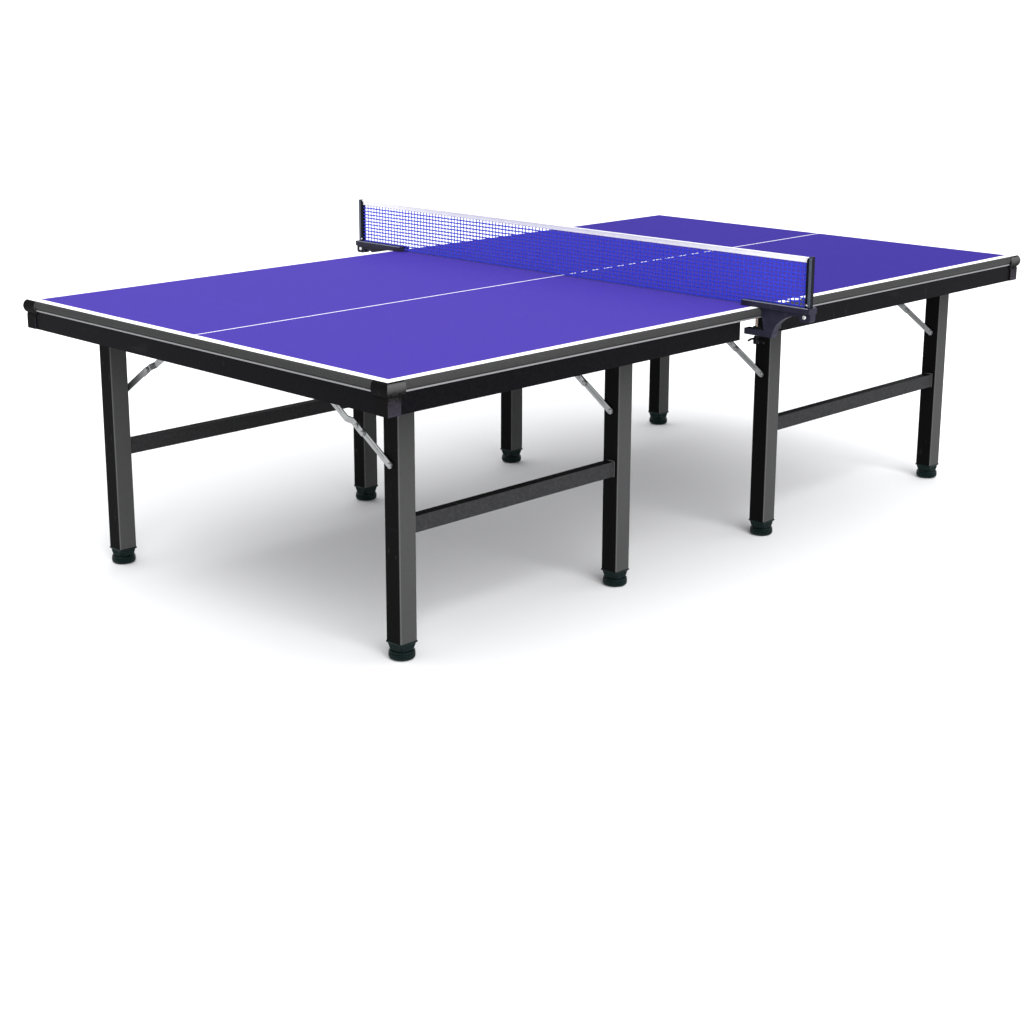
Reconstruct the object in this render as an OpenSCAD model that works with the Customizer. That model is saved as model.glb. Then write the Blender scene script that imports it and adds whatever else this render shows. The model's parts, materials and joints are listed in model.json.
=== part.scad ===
// Table-tennis table on folding leg frames, with a clamp-on net.
// It is two identical half tables, half_a on the -X side and half_b turned half a turn about Z.
// +X runs along the table, +Y across it and +Z up. The origin is on the floor, under the
// middle of the net. The near side is -Y and the far side is +Y.

/* [Table top] */
// Length of the playing surface, both halves together
top_len = 2740; // [2200:10:3400]
// Width of the playing surface
top_w = 1525; // [1250:5:1900]
// Height of the playing surface above the floor
top_h = 760; // [630:5:920]
// Thickness of the panels
panel_t = 16; // [12:1:22]
// Gap between the two panels, under the net
panel_gap = 1; // [0.6:0.2:3]

/* [Aprons] */
// Height of the apron, from the playing surface down
apron_h = 80; // [64:1:100]
// Height of the rounded bead along the top of the apron
bead_h = 24; // [20:1:28]
// How far the bead stands out from the panel's edge
bead_out = 6; // [4:0.5:8]
// Height of the bright lip under the bead
lip_h = 4; // [2:0.5:6]
// How far the lip stands out from the panel's edge
lip_out = 3; // [1:0.5:4]
// Thickness of the apron's sheet
sheet_t = 2; // [1.2:0.2:3]
// How far the web sits back from the panel's edge
web_back = 1.5; // [0.5:0.5:4]
// Width of the flange screwed under the panel
flange_w = 30; // [20:1:40]
// Width of the return along the bottom edge
return_w = 12; // [6:1:20]
// Length cut out of each side web beside the net clamp
notch_len = 95; // [60:5:140]

/* [Corner caps] */
// Length of a cap's upper part along each side
cap_len = 48; // [36:1:70]
// Length of a cap's flat lower part along each side
cap_low_len = 38; // [28:1:60]
// Height of a cap's bulging upper part
cap_bulge_h = 36; // [30:1:42]
// How far the bulge stands out from the panel's edge
cap_out = 9; // [8.5:0.5:12]
// How far the flat lower part stands out from the panel's edge
cap_low_out = 2; // [1:0.5:4]

/* [Under rails] */
// Width of the steel rails under the panel
rail_w = 25; // [18:1:30]
// Height of the steel rails
rail_h = 25; // [20:1:40]
// Wall of the steel rails
rail_t = 2; // [1.5:0.5:3]
// Diameter of the dowels that line up the two halves
dowel_d = 12; // [8:1:16]
// Distance of each dowel from the table's centre line
dowel_y = 400; // [200:10:500]

/* [Leg frames] */
// Width of the square leg tube
leg_w = 55; // [45:1:66]
// Wall of the leg tube
leg_t = 2; // [1.5:0.5:4]
// Corner radius of the leg tube
leg_r = 4; // [2:0.5:8]
// Distance from the side edge of the top to the legs' centre line
leg_inset = 197.5; // [170:2.5:240]
// Distance from the end edge of the top to the outer legs, halfway between near and far
outer_inset = 176; // [150:1:260]
// Distance from the net to the inner legs, halfway between near and far
inner_inset = 335; // [300:1:420]
// Gap left between a folded leg and the opposite frame's foot
nest_gap = 3; // [2:0.5:8]
// Height of the crossbar
bar_h = 42; // [30:1:60]
// Depth of the crossbar
bar_t = 28; // [20:1:40]
// Distance from the fold pin down to the top of the crossbar
bar_drop = 350; // [345:5:400]

/* [Leg hinges] */
// Distance from the underside of the panel down to the fold pin
hinge_drop = 34; // [33:1:44]
// Length of leg above the fold pin
leg_above = 9; // [8:0.5:10]
// Diameter of the fold pin
pin_d = 10; // [8:1:12]
// Thickness of the hinge plates
plate_t = 3; // [2:0.5:4]
// Gap between the leg and each hinge cheek
cheek_gap = 1; // [0.5:0.25:2]
// Gap between the upright leg and the hinge's back plate
back_gap = 2; // [1.75:0.25:4]

/* [Folding braces] */
// Distance from the fold pin down to the brace's pin on the leg
brace_drop = 210; // [180:5:240]
// Distance from the leg's centre line to the brace's pin under the panel
brace_reach = 325; // [280:5:330]
// Height of the brace's pin under the panel above the fold pin
brace_rise = 10; // [6:1:14]
// Width of the brace strips
brace_w = 18; // [14:1:22]
// Thickness of the brace strips
brace_t = 3; // [2:0.5:4]
// Diameter of the rivets
rivet_d = 8; // [6:1:10]
// Sideways step of the upper brace past the knuckle
brace_step = 11.6; // [8:0.2:16]
// Length of the upper brace's tail beyond the knuckle
brace_tail = 25; // [16:1:34]

/* [Levelling feet] */
// Diameter of the foot
foot_d = 67.5; // [56:0.5:76]
// Height of the foot
foot_h = 22; // [18:1:28]
// Height of the leg tube's lower end above the floor
leg_bottom = 46; // [42:1:58]
// Thickness of the leg cap's flange
cap_flange_t = 4.5; // [3:0.5:6]
// How far the leg cap's flange stands out from the tube
cap_flange_out = 1.3; // [0.5:0.1:3]
// Diameter of the threaded stem
stem_d = 16; // [12:1:20]
// Length of the threaded stem
stem_len = 80; // [70:1:100]

/* [Net] */
// Height of the net above the playing surface
net_h = 152.5; // [140:0.5:180]
// Distance from the side edge of the top to the middle of each post
post_over = 152.5; // [140:0.5:180]
// Height of the white tape along the top of the net
tape_h = 15; // [10:1:20]
// Thickness of the netting
net_t = 1.2; // [0.8:0.2:2]
// Thickness of the folded tape
tape_t = 2.4; // [1.6:0.2:2.6]
// Gap between the playing surface and the lower edge of the net
net_low = 6; // [4:0.5:10]
// Width of a post along the table
post_w = 12; // [12:1:20]
// Depth of a post across the table
post_d = 18; // [16:1:26]
// Width of the slot that grips the end of the net
post_slot = 3.2; // [3:0.2:4]

/* [Net clamps] */
// Length of a clamp's arm on the playing surface
arm_in = 60; // [40:5:160]
// Height of a clamp's arm
arm_h = 16; // [14:1:22]
// Width of a clamp's arm
arm_w = 36; // [28:1:44]
// Width of the groove in the arm that the net hangs in
arm_groove = 5; // [4:0.5:8]
// Thickness of the clamp's body under the arm
body_w = 24; // [16:1:30]
// Width of the clamp's body across the table, at the jaw
body_d = 36; // [30:1:60]
// Depth from the playing surface to the top of the jaw
jaw_drop = 63; // [54:1:80]
// Thickness of the jaw
jaw_t = 17; // [12:1:24]
// Length of the jaw under the table
jaw_in = 58; // [46:1:70]
// Distance from the clamp's body to the screw
screw_in = 25; // [20:1:30]
// Diameter of the clamp screw
screw_d = 8; // [6:1:10]
// Diameter of the clamp screw's pressure pad
pad_d = 24; // [18:1:28]
// Span of the wing knob
wing_span = 58; // [44:2:70]

/* [Fits] */
// Clearance around pins and stems in their holes
pin_fit = 0.05; // [0.03:0.01:0.1]
// Gap between pieces that slide past each other
slide_gap = 0.4; // [0.3:0.1:0.8]
// Gap between the table's edge and the clamp's body
edge_gap = 1; // [0.5:0.5:3]

/* [Hidden] */
$fn = 48;
half_len = top_len / 2;
half_w = top_w / 2;
under = top_h - panel_t;                 // underside of the panels
hinge_z = under - hinge_drop;            // height of the fold pins
leg_y = half_w - leg_inset;
nest_step = foot_d / 2 + leg_w / 2 + nest_gap;
bar_z = hinge_z - bar_drop - bar_h;
bead_r = (bead_out * bead_out + bead_h * bead_h / 4) / (2 * bead_out);
bead_angle = asin(bead_h / 2 / bead_r);
lip_low = bead_h + lip_h;                // bottom of the lip below the playing surface
cap_fit = 0.2;                           // gap between an apron and its corner cap
mitre_gap = 0.1;
back_y = leg_w / 2 + back_gap;           // inner face of a hinge's back plate
rail_y = leg_y + back_y + plate_t;       // inner face of the long rails
rail_end = 3;                            // the rails stop this far short of the net
cheek_x = leg_w / 2 + cheek_gap;         // inner face of a hinge cheek
cheek_r = 16;
ear_w = 16;                              // hinge flange beyond a cheek, for its screws

// The brace is straight when the leg stands and doubled back on itself when it is folded,
// so the sum and the difference of its two lengths are the pin distances at those two ends.
brace_open = norm([brace_reach, brace_drop + brace_rise]);
brace_shut = norm([brace_reach - brace_drop, brace_rise]);
upper_len = (brace_open + brace_shut) / 2;
lower_len = (brace_open - brace_shut) / 2;
brace_angle = atan2(brace_drop + brace_rise, brace_reach);
lower_n = 3;                             // the strips' distances out from the leg's face
upper_n = lower_n + brace_t + slide_gap;
mount_n = upper_n + brace_step;
head_t = 2;
head_r = rivet_d / 2 + 3;
knuckle = [lower_len * cos(brace_angle), lower_len * sin(brace_angle) - brace_drop];

stem_z = 8;                              // lower end of the stem inside the foot
cap_z = foot_h + 2;                      // lower end of the leg cap's boss
plug_h = 24;

post_y = half_w + post_over;
edge_y = half_w + max(bead_out, lip_out) + edge_gap;  // inner face of a clamp's body
arm_end = post_y + post_d / 2 + 5;
screw_y = edge_y - screw_in;
jaw_z = top_h - jaw_drop;                // top of the jaw
body_z = jaw_z - jaw_t;                  // bottom of the clamp's body
heel_h = 23;                             // depth of the body at the post, below the playing surface
heel_in = 36;                            // length of the heel under the post
arch_h = 9;                              // depth of the body where its lower curve meets the heel
body_lean = 8;                           // the body's inner face leans out this far, down to the jaw
nut_h = 6;                               // nut on the jaw, round the screw
pad_t = 6;                               // pressure pad at the screw's upper end
screw_out = 12;                          // length of the screw below the body
knob_gap = 4;                            // between the body and the knob, at rest
post_top = top_h + net_h + 1.5;
post_foot = top_h - 15;                  // lower end of a post, in the clamp's socket
net_end = 4;                             // the net stops this far short of a slot's floor
slot_in = post_d * 0.6;

SIDES = ["near", "far"];
HALVES = ["half_a", "half_b"];
PLACES = ["outer", "inner"];
HALF_PARTS = ["top", "side_aprons", "end_apron", "corner_caps", "under_rails", "leg_hinges",
    "hinge_pins", "brace_mounts"];
FRAME_PARTS = ["legs", "crossbar", "leg_caps", "upper_braces", "lower_braces", "outer_stem",
    "outer_foot", "inner_stem", "inner_foot"];

// X of the outer and inner legs of half_a. The frames differ by one nesting step, so that the
// narrow frame folds flat between the legs of the wide one.
function leg_x(wide) = [
    -(half_len - outer_inset) - (wide ? 1 : -1) * nest_step / 2,
    -inner_inset + (wide ? 1 : -1) * nest_step / 2];

// half_a's near frame is the narrow one. half_b is turned round, so its near frame is wide.
function is_wide(half, side) = (half == "half_a") == (side == "far");

// The bead's round face as [distance out from the panel's edge, height above the surface]
function bead_arc() = [for (i = [0:10]) let (a = bead_angle * (1 - i / 5))
    [bead_out - bead_r + bead_r * cos(a), -bead_h / 2 + bead_r * sin(a)]];

// Outline of the apron down to its lower edge, moved outwards by grow
function apron_face(grow) = concat(
    [for (p = bead_arc()) p + [grow, 0]],
    [[lip_out + grow, -bead_h], [lip_out + grow, -lip_low - grow],
        [-web_back + grow, -lip_low - grow], [-web_back + grow, -apron_h]]);

// Outline of a corner cap: a bulge, a waist and a flat lower part
function cap_face() = let (waist_out = 0.8, slope_h = 6) concat(
    [for (i = [0:12]) let (t = i / 12)
        [waist_out + (cap_out - waist_out) * pow(sin(180 * t), 0.6), -cap_bulge_h * t]],
    [[cap_low_out, -cap_bulge_h - slope_h], [cap_low_out, -apron_h]]);

// Puts half_b's pieces in place by turning half_a's
module in_half(half) {
    rotate([0, 0, half == "half_b" ? 180 : 0]) children();
}

// Repeats a piece at the frame's legs, or at the one named. In its own frame the leg stands on
// the origin, +Y points inwards under the table and the brace is on the leg's -X face.
module at_legs(wide, places = [0, 1]) {
    for (i = places)
        translate([leg_x(wide)[i], (wide ? 1 : -1) * leg_y, 0])
            rotate([0, 0, wide ? 180 : 0]) children();
}

// Mirrors a piece drawn on the far side onto the side asked for
module on_side(side) {
    mirror([0, side == "near" ? 1 : 0, 0]) children();
}

// Square with rounded corners
module round_square(w, r) {
    square([w - 2 * r, w], center = true);
    square([w, w - 2 * r], center = true);
    for (x = [-1, 1], y = [-1, 1]) translate([x * (w / 2 - r), y * (w / 2 - r)]) circle(r);
}

// Runs an outline of [out, up] along +X, with out towards +Y
module run(points, length) {
    rotate([90, 0, 90]) linear_extrude(length) polygon(points);
}

// Drawing plane of a brace: X inwards from the leg, Y up from the fold pin, Z out from the leg
module brace_plane() {
    translate([-leg_w / 2, 0, hinge_z]) mirror([1, 0, 0]) rotate([90, 0, 90]) children();
}

// Strip with round ends from s = a to s = b
module strip(a, b) {
    translate([a, -brace_w / 2]) square([b - a, brace_w]);
    for (s = [a, b]) translate([s, 0]) circle(brace_w / 2);
}

module top_panel() {
    color("slateblue")
        translate([-half_len, -half_w, under])
            cube([half_len - panel_gap / 2, top_w, panel_t]);
}

// Plan of the part of half_a that belongs to the end apron, cut off along the mitres
module end_plan(gap) {
    k = flange_w + cap_out;
    polygon([[-half_len - k - gap, half_w + k], [-half_len + k - gap, half_w - k],
        [-half_len + k - gap, -half_w + k], [-half_len - k - gap, -half_w - k]]);
}

module apron(length) {
    inner = web_back + sheet_t;
    run(concat(apron_face(0),
        [[-web_back - return_w, -apron_h], [-web_back - return_w, -apron_h + sheet_t],
            [-inner, -apron_h + sheet_t], [-inner, -panel_t - sheet_t],
            [-flange_w, -panel_t - sheet_t], [-flange_w, -panel_t], [0, -panel_t]]), length);
}

module side_aprons() {
    cut = flange_w + cap_out;
    color("#26262a")
        for (side = SIDES) on_side(side) difference() {
            translate([-half_len - cap_out, half_w, top_h])
                apron(half_len + cap_out - panel_gap / 2);
            translate([0, 0, top_h - apron_h - 1]) linear_extrude(apron_h + 2) end_plan(-mitre_gap);
            translate([-notch_len, half_w - cut, top_h - apron_h - 1])
                cube([notch_len + 1, 2 * cut, apron_h - lip_low + 1]);
            translate([-notch_len, half_w - cut, under - lip_low])
                cube([notch_len + 1, cut - web_back - sheet_t, lip_low]);
        }
}

module end_apron() {
    color("#26262a")
        intersection() {
            translate([-half_len, -half_w - cap_out, top_h])
                rotate([0, 0, 90]) apron(top_w + 2 * cap_out);
            translate([0, 0, top_h - apron_h - 1]) linear_extrude(apron_h + 2) end_plan(mitre_gap);
        }
}

// One half of a corner cap, along the far side, from the corner at the origin
module cap_wing() {
    deep = web_back;
    difference() {
        translate([-cap_out, 0, 0])
            run(concat([[-deep, 0]], cap_face(), [[-deep, -apron_h]]), cap_out + cap_len);
        translate([-2 * cap_out, 0, 0])
            run(concat([[-2 * deep, 1], [cap_fit, 1]], apron_face(cap_fit),
                [[-web_back + cap_fit, -apron_h - 1], [-2 * deep, -apron_h - 1]]),
                3 * cap_out + cap_len);
        translate([cap_low_len, -cap_out, -apron_h - 1])
            cube([cap_len, 3 * cap_out, apron_h - cap_bulge_h - 2]);
        linear_extrude(3 * apron_h, center = true)
            polygon([[3 * cap_out, -3 * cap_out], [-3 * cap_out, 3 * cap_out],
                [-3 * cap_out, -3 * cap_out]]);
    }
}

module corner_caps() {
    color("#202020")
        for (side = SIDES) on_side(side) translate([-half_len, half_w, top_h]) {
            cap_wing();
            mirror([1, 1, 0]) cap_wing();
        }
}

// Box tube along +X from the origin
module rail(length) {
    difference() {
        cube([length, rail_w, rail_h]);
        translate([-1, rail_t, rail_t])
            cube([length + 2, rail_w - 2 * rail_t, rail_h - 2 * rail_t]);
    }
}

module under_rails() {
    start = -half_len + flange_w + 2;
    z = under - rail_h;
    color("dimgray") {
        for (side = SIDES) on_side(side)
            translate([start, rail_y, z]) rail(-rail_end - start);
        difference() {
            translate([-rail_end, -rail_y, z]) rotate([0, 0, 90]) rail(2 * rail_y);
            translate([-rail_end - rail_w / 2, -dowel_y, z + rail_h / 2])
                rotate([0, 90, 0]) cylinder(d = dowel_d + 2 * slide_gap, h = rail_w);
        }
        translate([-rail_end - rail_w + rail_t, dowel_y, z + rail_h / 2])
            rotate([0, 90, 0]) cylinder(d = dowel_d, h = 2 * rail_end + 2 * (rail_w - rail_t));
    }
}

// Side view of a hinge cheek, with the fold pin at the origin
module cheek_face() {
    difference() {
        union() {
            circle(cheek_r);
            translate([-back_y - plate_t, 0]) square([back_y + plate_t + cheek_r, hinge_drop]);
        }
        circle(d = pin_d + 2 * pin_fit);
    }
}

module leg_hinges() {
    wide_x = 2 * (cheek_x + plate_t);
    color("gray")
        for (wide = [false, true]) at_legs(wide) {
            for (x = [-cheek_x - plate_t, cheek_x])
                translate([x, 0, hinge_z]) rotate([90, 0, 90]) linear_extrude(plate_t) cheek_face();
            translate([-wide_x / 2, -back_y - plate_t, hinge_z - cheek_r])
                cube([wide_x, plate_t, hinge_drop + cheek_r]);
            translate([-wide_x / 2 - ear_w, -back_y - plate_t, under - plate_t])
                cube([wide_x + 2 * ear_w, back_y + plate_t + cheek_r, plate_t]);
        }
}

module hinge_pins() {
    out_x = cheek_x + plate_t;
    pin_head_d = pin_d + 6;
    color("silver")
        for (wide = [false, true]) at_legs(wide) translate([0, 0, hinge_z]) rotate([0, 90, 0]) {
            cylinder(d = pin_d, h = 2 * out_x, center = true);
            for (z = [-out_x - plate_t, out_x]) translate([0, 0, z]) cylinder(d = pin_head_d, h = plate_t);
        }
}

module brace_mounts() {
    tab_r = 12;
    tab_n = mount_n - slide_gap - brace_t;
    base_l = 2 * tab_r + 26;
    color("silver")
        for (wide = [false, true]) at_legs(wide) brace_plane() translate([brace_reach, brace_rise, 0]) {
            translate([0, 0, tab_n]) linear_extrude(brace_t) {
                circle(tab_r);
                translate([-tab_r, 0]) square([2 * tab_r, hinge_drop - brace_rise]);
            }
            translate([-base_l / 2, hinge_drop - brace_rise - brace_t, tab_n - 2 * tab_r])
                cube([base_l, brace_t, 2 * tab_r + brace_t]);
            translate([0, 0, tab_n - head_t]) cylinder(r = head_r, h = head_t);
            translate([0, 0, tab_n]) cylinder(d = rivet_d, h = 2 * brace_t + 2 * slide_gap);
            translate([0, 0, mount_n + brace_t + slide_gap]) cylinder(r = head_r, h = head_t);
        }
}

module legs(wide) {
    color("#3c3c3c")
        at_legs(wide) difference() {
            translate([0, 0, leg_bottom]) linear_extrude(hinge_z + leg_above - leg_bottom)
                difference() {
                    round_square(leg_w, leg_r);
                    round_square(leg_w - 2 * leg_t, max(leg_r - leg_t, 0.5));
                }
            translate([0, 0, hinge_z]) rotate([0, 90, 0])
                cylinder(d = pin_d + 2 * pin_fit, h = 2 * leg_w, center = true);
            brace_plane() translate([0, -brace_drop, -leg_t - 1])
                cylinder(d = rivet_d + 2 * pin_fit, h = leg_t + 2);
        }
}

module crossbar(wide) {
    x = leg_x(wide);
    color("#3c3c3c")
        translate([x[0] + leg_w / 2, (wide ? 1 : -1) * leg_y - bar_t / 2, bar_z]) difference() {
            cube([x[1] - x[0] - leg_w, bar_t, bar_h]);
            translate([-1, leg_t, leg_t])
                cube([x[1] - x[0], bar_t - 2 * leg_t, bar_h - 2 * leg_t]);
        }
}

module leg_caps(wide) {
    boss_w = leg_w - 1;
    boss_h = leg_bottom - cap_flange_t - cap_z;
    color("#1c2222")
        at_legs(wide) difference() {
            union() {
                translate([0, 0, leg_bottom - cap_flange_t]) linear_extrude(cap_flange_t)
                    round_square(leg_w + 2 * cap_flange_out, leg_r + cap_flange_out);
                translate([0, 0, leg_bottom]) linear_extrude(plug_h)
                    round_square(leg_w - 2 * leg_t - slide_gap, leg_r);
                intersection() {
                    translate([0, 0, cap_z])
                        cylinder(h = boss_h, r1 = foot_d / 2 - 3, r2 = leg_w / sqrt(2));
                    translate([0, 0, cap_z]) linear_extrude(boss_h) round_square(boss_w, leg_r);
                }
            }
            cylinder(d = stem_d + 2 * pin_fit, h = leg_bottom + plug_h + 1);
        }
}

// Lower strip, from its rivet on the leg to the knuckle
module lower_braces(wide) {
    color("lightgray")
        at_legs(wide) brace_plane() translate([0, -brace_drop, 0]) rotate(brace_angle) {
            translate([0, 0, lower_n]) linear_extrude(brace_t) strip(0, lower_len);
            translate([0, 0, -leg_t]) cylinder(d = rivet_d, h = leg_t + lower_n);
            translate([0, 0, -leg_t - slide_gap - head_t])
                cylinder(r = head_r, h = head_t);
            translate([0, 0, -leg_t - slide_gap]) cylinder(d = rivet_d, h = slide_gap);
            translate([0, 0, slide_gap]) cylinder(r = head_r, h = lower_n - slide_gap);
            translate([0, 0, lower_n + brace_t]) cylinder(r = head_r, h = head_t);
            translate([lower_len, 0, lower_n - head_t]) cylinder(r = head_r, h = head_t);
        }
}

// Upper strip, from its pin under the panel to the knuckle and a tail beyond it
module upper_braces(wide) {
    bend = 18;
    side_view = [[-brace_tail, upper_n], [bend, upper_n], [bend + brace_step, mount_n],
        [upper_len, mount_n], [upper_len, mount_n + brace_t],
        [bend + brace_step - brace_t / 2, mount_n + brace_t],
        [bend - brace_t / 2, upper_n + brace_t], [-brace_tail, upper_n + brace_t]];
    grow = brace_w / 2;
    function grown(p) = p[0] < 0 ? p - [grow, 0] : p[0] < upper_len ? p : p + [grow, 0];
    color("lightgray")
        at_legs(wide) brace_plane() translate(knuckle) rotate(brace_angle) {
            difference() {
                intersection() {
                    translate([0, grow, 0]) rotate([90, 0, 0]) linear_extrude(brace_w)
                        polygon([for (p = side_view) grown(p)]);
                    linear_extrude(2 * mount_n) strip(-brace_tail, upper_len);
                }
                translate([upper_len, 0, 0])
                    cylinder(d = rivet_d + 2 * pin_fit, h = 2 * mount_n);
            }
            for (s = [0, -brace_tail])
                translate([s, 0, upper_n + brace_t]) cylinder(r = head_r, h = head_t);
        }
}

module stem(wide, place) {
    color("silver")
        at_legs(wide, [place]) translate([0, 0, stem_z + slide_gap])
            cylinder(d = stem_d, h = stem_len);
}

module foot(wide, place) {
    r = foot_d / 2;
    round_r = foot_h * 0.4;
    color("#161a1a")
        at_legs(wide, [place]) rotate_extrude() polygon(concat([[0, 0]],
            [for (a = [-90:15:0]) [r - round_r + round_r * cos(a), round_r + round_r * sin(a)]],
            [[r, foot_h - 3], [r - 3, foot_h], [stem_d / 2 + pin_fit, foot_h],
                [stem_d / 2 + pin_fit, stem_z], [0, stem_z]]));
}

module net_sheet() {
    y = post_y - post_d / 2 + slot_in - net_end;
    color("mediumblue")
        translate([-net_t / 2, -y, top_h + net_low])
            cube([net_t, 2 * y, net_h - net_low - tape_h]);
}

module tape() {
    y = post_y - post_d / 2 + slot_in - net_end;
    color("white")
        translate([-tape_t / 2, -y, top_h + net_h - tape_h]) cube([tape_t, 2 * y, tape_h]);
}

module net_posts() {
    chamfer = 12;
    color("#3a3f4c")
        for (side = SIDES) on_side(side) translate([0, post_y - post_d / 2, 0]) difference() {
            translate([-post_w / 2, 0, post_foot]) cube([post_w, post_d, post_top - post_foot]);
            translate([-post_slot / 2, -1, top_h + net_low - 1])
                cube([post_slot, slot_in + 1, net_h + 10]);
            translate([0, 0, post_top]) rotate([45, 0, 0])
                cube([post_w + 2, chamfer, chamfer], center = true);
        }
}

// Side view of a clamp as [distance from the middle of the table, height]
function clamp_face() = let (bite = arm_end - edge_y - body_d - heel_in, rise = top_h - arch_h - body_z) concat(
    [[edge_y - jaw_in, body_z], [edge_y - jaw_in, jaw_z], [edge_y + body_lean, jaw_z],
        [edge_y, top_h - 2 * arch_h], [edge_y, top_h + 1], [arm_end, top_h + 1]],
    [for (a = [0:-15:-90]) [arm_end - 8 + 8 * cos(a), top_h - heel_h + 8 + 8 * sin(a)]],
    [for (a = [-90:-15:-150]) [arm_end - heel_in + 8 + 8 * cos(a), top_h - heel_h + 8 + 8 * sin(a)]],
    [for (a = [90:-7.5:0]) [edge_y + body_d + bite * (1 - cos(a)), body_z + rise * sin(a)]]);

module net_clamps() {
    color("#46485c")
        for (side = SIDES) on_side(side) difference() {
            union() {
                translate([-body_w / 2, 0, 0]) run(clamp_face(), body_w);
                translate([-arm_w / 2, half_w - arm_in, top_h])
                    cube([arm_w, arm_end - half_w + arm_in, arm_h]);
                translate([0, screw_y, jaw_z]) cylinder(d = 2.2 * screw_d, h = nut_h);
            }
            translate([-arm_groove / 2, half_w - arm_in - 1, top_h + net_low - 2])
                cube([arm_groove, arm_in + post_over, arm_h]);
            translate([-post_w / 2 - pin_fit, post_y - post_d / 2 - pin_fit, post_foot])
                cube([post_w + 2 * pin_fit, post_d + 2 * pin_fit, post_top]);
            translate([0, screw_y, body_z - 1]) cylinder(d = screw_d + 2 * pin_fit, h = jaw_drop);
        }
}

// Screw with its pressure pad, drawn tight against the panel
module clamp_screw(side) {
    color("silver")
        on_side(side) translate([0, screw_y, 0]) {
            translate([0, 0, body_z - screw_out])
                cylinder(d = screw_d, h = under - pad_t - body_z + screw_out);
            translate([0, 0, under - pad_t]) cylinder(d = pad_d, h = pad_t);
        }
}

// Wing knob: a hub with two drooping wings
module wing_knob(side) {
    hub_h = 22;
    wing_t = 6;
    droop = 12;                          // how far a wing's upper edge falls at its tip
    color("#181818")
        on_side(side) translate([0, screw_y, body_z - knob_gap - hub_h]) difference() {
            union() {
                cylinder(d = 2 * screw_d, h = hub_h);
                translate([-wing_t / 2, 0, 0]) run(concat(
                    [for (t = [-1:0.125:1]) [t * wing_span / 2, hub_h - 3 - droop * t * t]],
                    [for (t = [1:-0.125:-1]) [t * (wing_span / 2 - 2), hub_h - 12 - 0.8 * droop * t * t]]),
                    wing_t);
            }
            translate([0, 0, hub_h + knob_gap - screw_out - slide_gap])
                cylinder(d = screw_d + 2 * pin_fit, h = hub_h);
        }
}

for (half = HALVES) {
    in_half(half) top_panel();
    in_half(half) side_aprons();
    in_half(half) end_apron();
    in_half(half) corner_caps();
    in_half(half) under_rails();
    in_half(half) leg_hinges();
    in_half(half) hinge_pins();
    in_half(half) brace_mounts();
}

for (half = HALVES, side = SIDES) {
    name = str(half, "_", side);
    wide = is_wide(half, side);
    in_half(half) legs(wide);
    in_half(half) crossbar(wide);
    in_half(half) leg_caps(wide);
    in_half(half) upper_braces(wide);
    in_half(half) lower_braces(wide);
    for (i = [0, 1]) {
        in_half(half) stem(wide, i);
        in_half(half) foot(wide, i);
    }
}

net_sheet();  // net
tape();  // net_tape
net_posts();
net_clamps();
for (side = SIDES) {
    clamp_screw(side);
    wing_knob(side);
}
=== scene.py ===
import json
import math

import bmesh
import bpy
import numpy as np
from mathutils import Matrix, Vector


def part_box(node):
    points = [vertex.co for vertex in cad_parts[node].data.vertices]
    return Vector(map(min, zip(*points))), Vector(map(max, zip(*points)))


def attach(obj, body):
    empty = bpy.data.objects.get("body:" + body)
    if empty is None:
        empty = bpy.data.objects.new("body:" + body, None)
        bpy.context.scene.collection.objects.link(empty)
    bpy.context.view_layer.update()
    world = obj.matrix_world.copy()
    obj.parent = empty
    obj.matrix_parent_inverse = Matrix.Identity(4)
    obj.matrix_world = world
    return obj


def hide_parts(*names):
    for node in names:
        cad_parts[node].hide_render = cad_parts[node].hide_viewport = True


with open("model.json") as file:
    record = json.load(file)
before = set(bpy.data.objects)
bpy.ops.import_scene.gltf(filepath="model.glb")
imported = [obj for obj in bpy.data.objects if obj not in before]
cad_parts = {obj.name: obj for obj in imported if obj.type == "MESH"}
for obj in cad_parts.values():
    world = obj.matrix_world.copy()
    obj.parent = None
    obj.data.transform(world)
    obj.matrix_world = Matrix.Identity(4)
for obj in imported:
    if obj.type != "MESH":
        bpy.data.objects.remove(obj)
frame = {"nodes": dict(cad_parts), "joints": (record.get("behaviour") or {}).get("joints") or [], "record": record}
nodes = frame["nodes"]
joints = {joint["name"]: joint for joint in frame["joints"]}
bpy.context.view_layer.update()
print("frame loaded:", len(nodes), "nodes")

# Camera, lamps and floor

cameraView = {
    "azimuth": -44.67,  # degrees round the table, 0 looks along +Y
    "elevation": 14.35,  # degrees above the floor
    "place": (-3.914, -3.659, 1.614),
    "lens": 62.5,  # mm, on a 36 mm sensor
    "shift": (0.0215, -0.0703),
}

studio = {
    "sky": (0.95, 0.96, 1.0),
    "skyLight": 0.75,
    "keyFrom": (-0.42, -1.0, 0.72),  # the key lamp shines from here towards the table
    "keyStrength": 3.0,
    "keySpread": 50,  # degrees, so that its shadows are soft
    "topFrom": (0.25, 0.2, 1.0),
    "topStrength": 2.2,
    "topSpread": 100,
    "floorColor": (0.82, 0.82, 0.82),
    "floorRadius": 900,
}


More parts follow.
